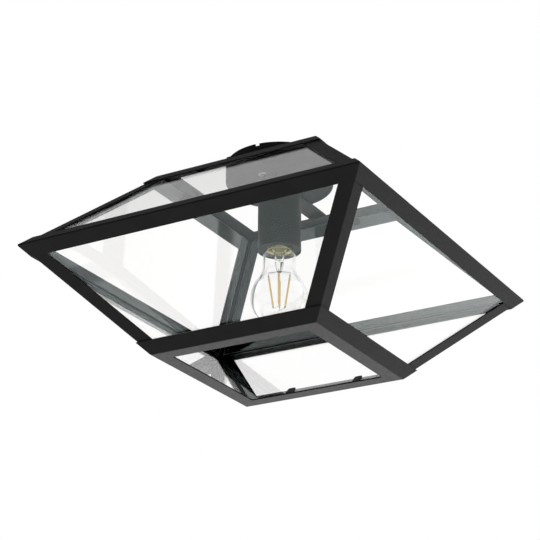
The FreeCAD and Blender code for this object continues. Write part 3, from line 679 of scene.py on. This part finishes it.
def lay_lead(name, node, route, finish):
    """A smooth lead whose route's points are in millimetres."""
    curve = bpy.data.curves.new(name, "CURVE")
    curve.dimensions = "3D"
    curve.bevel_depth = lead_radius
    curve.bevel_resolution = 4
    curve.use_fill_caps = True
    line = curve.splines.new("NURBS")
    line.points.add(len(route) - 1)
    for point, place in zip(line.points, route):
        point.co = (place[0] * mm, place[1] * mm, place[2] * mm, 1.0)
    line.order_u = 3
    line.use_endpoint_u = True
    line.resolution_u = 12
    curve.materials.append(finish)
    lead = bpy.data.objects.new(name, curve)
    bpy.context.scene.collection.objects.link(lead)
    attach(lead, "lantern")
    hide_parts(node)


brown = insulation("brown_pvc", (0.075, 0.028, 0.012), (0.10, 0.04, 0.018))
blue = insulation("blue_pvc", (0.02, 0.10, 0.36), (0.03, 0.14, 0.45))
green_yellow = striped_insulation("green_yellow_pvc", (0.03, 0.22, 0.05), (0.78, 0.62, 0.05))
terminal_y = 8.5
nipple_side = 1.4
above_nipple_z = -8.5
entry_z = -17.0
block_x = 27.0
earth_pole = 8.0
for name, node, sign, pole, finish, slot in (
    ("brown_lead", "live_lead", -1, -8.0, brown, "brown_insulation"),
    ("blue_lead", "neutral_lead", 1, 0.0, blue, "blue_insulation"),
):
    lay_lead(name, node, (
        (0.0, sign * terminal_y, -62.0),
        (0.0, sign * terminal_y, -53.0),
        (0.0, sign * nipple_side, -45.0),
        (0.0, sign * nipple_side, -26.0),
        (0.0, sign * nipple_side, above_nipple_z),
        (12.5, pole, above_nipple_z),
        (16.5, pole, entry_z),
        (block_x, pole, entry_z),
    ), finish)
lay_lead("green_yellow_lead", "earth_lead", (
    (block_x, earth_pole, entry_z),
    (18.0, earth_pole, entry_z),
    (11.8, 14.7, -11.8),
    (5.8, 11.7, -8.8),
    (5.8, 11.7, -2.8),
), green_yellow)

# ---- Bulb cap ----
# Thin brass, rolled with the rounded screw thread and closed at the top by a plug of black glass
# with the contact button in it. The thread is in step with the shell's at every turn.

cap_low, cap_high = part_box("bulb_cap")
cap_radius = cap_high.x
cap_root = cap_radius - screw_depth
cap_neck = 9.0 * mm
cap_gauge = 0.4 * mm
thread_top = cap_low.z + 20.0 * mm
skirt_rise = 0.9 * mm
groove_rise = 1.6 * mm
groove_share = 0.8
threaded_from = 1.9 * mm
thread_fade = 0.8 * mm
cap = bmesh.new()
outer = [ring(cap_radius, cap_low.z, shell_points)]
outer.append(ring(cap_radius, cap_low.z + skirt_rise, shell_points))
outer.append(ring(cap_radius - groove_share * screw_depth, cap_low.z + groove_rise, shell_points))
threaded = (cap_low.z + threaded_from, thread_top - thread_fade, screw_pitch)
outer += thread(*threaded, cap_radius, cap_root, rounded, shell_points)
outer.append(ring(cap_root, thread_top, shell_points))
outer.append(ring(cap_neck, cap_high.z, shell_points))
skin(cap, outer + inner_wall(outer, cap_gauge), end="joined")
keep_sharp(cap, rolled_crease)
cap_brass = plated_metal("cap_brass", (0.84, 0.76, 0.26), (0.95, 0.88, 0.40), 0.22, 0.4)
place_piece("threaded_cap", cap, (cap_brass,), "bulb_brass", "bulb", "bulb_cap")
black_glass = moulded("black_glass_plug", (0.006, 0.006, 0.009), (0.012, 0.012, 0.016), 0.08, 0.16)
dress("cap_insulator", black_glass)
dress("bulb_contact_button", brass)

# ---- Bulb glass and stem ----
# A blown envelope of clear soda glass, thin at the globe, and the flared stem sealed into its
# neck, pinched solid at the end where the wires come out.

thin_glass_index = 1.3
bulb_clear = clear_glass(
    "bulb_clear_glass", (0.992, 0.994, 0.99), (0.998, 0.998, 0.996), index=thin_glass_index)
stem_clear = clear_glass(
    "stem_glass", (0.93, 0.97, 0.92), (0.97, 0.99, 0.96), index=thin_glass_index)
dress("bulb_glass", bulb_clear)
dress("bulb_stem", stem_clear)

# ---- LED filaments and their wires ----
# Four straight rods, each a strip of tiny diodes under a skin of amber phosphor with a steel tab
# at both ends. Stiff wires from the stem carry them, and two links join their lower ends.

filament_count = 4
filament_radius = 1.0 * mm
filament_length = 38.0 * mm
filament_top_radius = 11.5 * mm
filament_bottom_radius = 6.0 * mm
filament_turn = math.radians(26.0)
filament_points = 20
filament_ends = ((0.35, 0.0), (0.72, 0.25), (0.93, 0.7), (1.0, 1.3))
tab_length = 2.6 * mm
tab_thickness = 0.35 * mm
tab_width = 1.4 * filament_radius
tab_in_coat = 0.4 * mm
# Strength of a painted glow: the bulb is not lit, and a faint emission makes its filaments look lit.
painted_filament_glow = 0.22
filament_inset = 0.2 * mm
filament_crease = 40
filament_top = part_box("led_filaments")[1].z - filament_inset

phosphor, tree, shader = new_finish("amber_phosphor_painted_glow")
shader.inputs["Subsurface Weight"].default_value = 0.25
shader.inputs["Subsurface Radius"].default_value = (1.0 * mm, 0.6 * mm, 0.25 * mm)
shader.inputs["Subsurface Scale"].default_value = 1.0
vary_colour(tree, shader, object_noise(tree, 900.0, 3.0), (0.90, 0.62, 0.20), (1.0, 0.76, 0.32))
vary_roughness(tree, shader, object_noise(tree, 500.0, 3.0), 0.35, 0.55)
# Painted glow: the unlit phosphor gets a faint amber emission so that it looks lit.
shader.inputs["Emission Color"].default_value = (1.0, 0.78, 0.32, 1.0)
shader.inputs["Emission Strength"].default_value = painted_filament_glow
add_bump(tree, shader, object_noise(tree, 1500.0, 2.0), 0.05 * mm, 0.5)
tab_steel = plated_metal("tab_steel", (0.30, 0.30, 0.31), (0.42, 0.42, 0.43), 0.25, 0.4)
wire_steel = plated_metal("support_wire", (0.24, 0.23, 0.22), (0.36, 0.35, 0.34), 0.25, 0.4)


def filament_line(index):
    """Upper and lower end of a filament on its leaning line."""
    angle = filament_turn + 2 * math.pi * index / filament_count
    outward = Vector((math.cos(angle), math.sin(angle), 0.0))
    rise = math.sqrt(filament_length ** 2 - (filament_top_radius - filament_bottom_radius) ** 2)
    upper = outward * filament_top_radius + Vector((0.0, 0.0, filament_top))
    lower = outward * filament_bottom_radius + Vector((0.0, 0.0, filament_top - rise))
    return upper, lower


filaments = bmesh.new()
for index in range(filament_count):
    upper, lower = filament_line(index)
    one = bmesh.new()
    coat = filament_length - 2 * tab_length
    rings = []
    for share, along in filament_ends:
        rings.append(ring(filament_radius * share, tab_length + along * mm, filament_points))
    for share, along in reversed(filament_ends):
        rings.append(ring(filament_radius * share, tab_length + coat - along * mm, filament_points))
    skin(one, rings, "flat", "flat")
    coated = len(one.faces)
    tab = tab_length + tab_in_coat
    for low in (0.0, filament_length - tab):
        made = bmesh.ops.create_cube(one, size=1.0)["verts"]
        bmesh.ops.scale(one, vec=(tab_width, tab_thickness, tab), verts=made)
        bmesh.ops.translate(one, vec=(0.0, 0.0, low + tab / 2), verts=made)
    one.faces.ensure_lookup_table()
    for face in one.faces[coated:]:
        face.material_index = 1
    turn = (upper - lower).to_track_quat("Z", "X").to_matrix().to_4x4()
    bmesh.ops.transform(one, matrix=Matrix.Translation(lower) @ turn, verts=one.verts)
    join_in(filaments, one)
keep_sharp(filaments, filament_crease)
phosphor_slots = (phosphor, tab_steel)
place_piece(
    "phosphor_filaments", filaments, phosphor_slots, "filament_phosphor", "bulb", "led_filaments")
dress("filament_support_wires", wire_steel)

# ---- Camera ----
# It looks up at the lantern from below and to the right of its front, as the photograph does, at
# 1.8 m with a long lens, rolled by under half a degree.

camera_place = Vector((0.8323, -1.4551, -0.8261))
aim_point = Vector((-0.0088, -0.0051, -0.1217))
camera_roll = math.radians(0.415)
camera_lens = 115.54
sensor_width = 36.0
lens_data = bpy.data.cameras.new("camera")
lens_data.lens = camera_lens
lens_data.sensor_width = sensor_width
camera = bpy.data.objects.new("camera", lens_data)
camera.rotation_mode = "QUATERNION"
camera.location = camera_place
aim = (aim_point - camera_place).to_track_quat("-Z", "Y")
camera.rotation_quaternion = aim @ Quaternion((0, 0, 1), camera_roll)
bpy.context.scene.collection.objects.link(camera)
bpy.context.scene.camera = camera

# ---- Studio ----
# A pale floor a room's height below the ceiling that glows softly, most of all behind the lantern,
# and white surroundings that are bright behind and a little below it, and dim elsewhere.

floor_level = -2.4
floor_reach = 40.0
front_glow = 0.62
rear_glow = 1.75
rear_way = (-0.5, 0.87, 0.0)
glow_reach = 5.5


def brighten(tree, coordinate, way, start, end, dim, full):
    """A strength that rises smoothly from dim to full along a direction, from start to end."""
    place = tree.nodes.new("ShaderNodeTexCoord")
    along = tree.nodes.new("ShaderNodeVectorMath")
    along.operation = "DOT_PRODUCT"
    along.inputs[1].default_value = way
    span = add_node(tree, "MapRange", From_Min=start, From_Max=end, To_Min=dim, To_Max=full)
    span.interpolation_type = "SMOOTHSTEP"
    tree.links.new(place.outputs[coordinate], along.inputs[0])
    tree.links.new(along.outputs["Value"], span.inputs["Value"])
    return span.outputs["Result"]


floor_mesh = bmesh.new()
floor_mesh.faces.new([floor_mesh.verts.new(point) for point in ring(floor_reach, floor_level, 64)])
floor_data = bpy.data.meshes.new("studio_floor")
floor_mesh.to_mesh(floor_data)
floor_mesh.free()
floor_paint, tree, shader = new_finish("pale_floor")
vary_colour(tree, shader, object_noise(tree, 2.0, 2.0), (0.80, 0.80, 0.80), (0.83, 0.83, 0.83))
shader.inputs["Roughness"].default_value = 0.8
shader.inputs["Emission Color"].default_value = (1.0, 1.0, 1.0, 1.0)
glow = brighten(tree, "Object", rear_way, 0.0, glow_reach, front_glow, rear_glow)
tree.links.new(glow, shader.inputs["Emission Strength"])
floor_data.materials.append(floor_paint)
floor = bpy.data.objects.new("studio_floor", floor_data)
bpy.context.scene.collection.objects.link(floor)

bright_side = (-0.10, 0.95, -0.30)
dim_light = 0.2
full_light = 1.3
light_start = 0.1
light_end = 0.95
seen_light = 1.0
glass_bounces = 24
world = bpy.data.worlds.new("studio_light")
bpy.context.scene.world = world
world.use_nodes = True
tree = world.node_tree
sky = tree.nodes["Background"]
sky.inputs["Color"].default_value = (1.0, 1.0, 1.0, 1.0)
sky_glow = brighten(tree, "Generated", bright_side, light_start, light_end, dim_light, full_light)
path = tree.nodes.new("ShaderNodeLightPath")
seen = tree.nodes.new("ShaderNodeMath")
seen.operation = "MAXIMUM"
strength = tree.nodes.new("ShaderNodeMix")
tree.links.new(path.outputs["Is Camera Ray"], seen.inputs[0])
tree.links.new(path.outputs["Is Transmission Ray"], seen.inputs[1])
tree.links.new(seen.outputs["Value"], strength.inputs["Factor"])
tree.links.new(sky_glow, strength.inputs["A"])
strength.inputs["B"].default_value = seen_light
tree.links.new(strength.outputs["Result"], sky.inputs["Strength"])

bpy.context.scene.view_settings.view_transform = "Standard"
bpy.context.scene.cycles.max_bounces = glass_bounces
bpy.context.scene.cycles.transmission_bounces = glass_bounces
